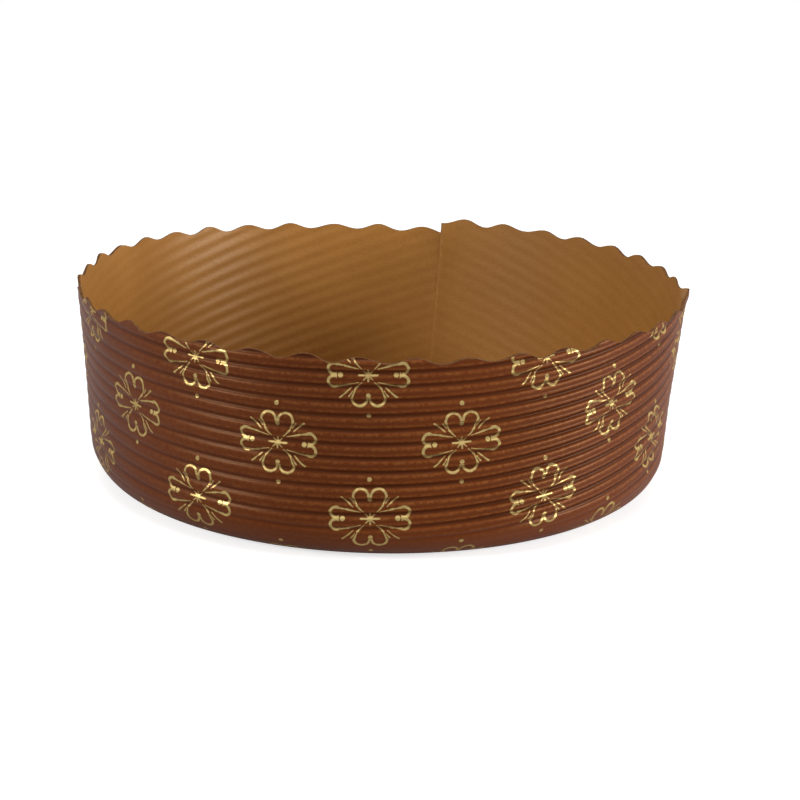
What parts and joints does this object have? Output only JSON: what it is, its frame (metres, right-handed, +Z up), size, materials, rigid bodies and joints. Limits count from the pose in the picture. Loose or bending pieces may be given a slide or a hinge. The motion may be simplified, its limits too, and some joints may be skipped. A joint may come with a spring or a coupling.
{
  "type": "paper baking mold",
  "caption": "Low round paper baking mold: a fluted, scalloped brown paper wall with gold flowers, glued on a fluted kraft base",
  "frame": {"origin": "on the mold's axis, in the plane that its foot stands on", "axes": "+Z up out of the open top, -Y to the front of the picture, +X to its right"},
  "size_m": [0.186, 0.186, 0.062],
  "materials": {
    "printed_paper": "glossy brown fluted paper with a gold flower print outside, plain kraft inside",
    "kraft_paper": "matt kraft brown fluted greaseproof paper"
  },
  "bodies": {
    "root": {"side_wall": "printed_paper", "base_disc": "kraft_paper"}
  },
  "joints": []
}
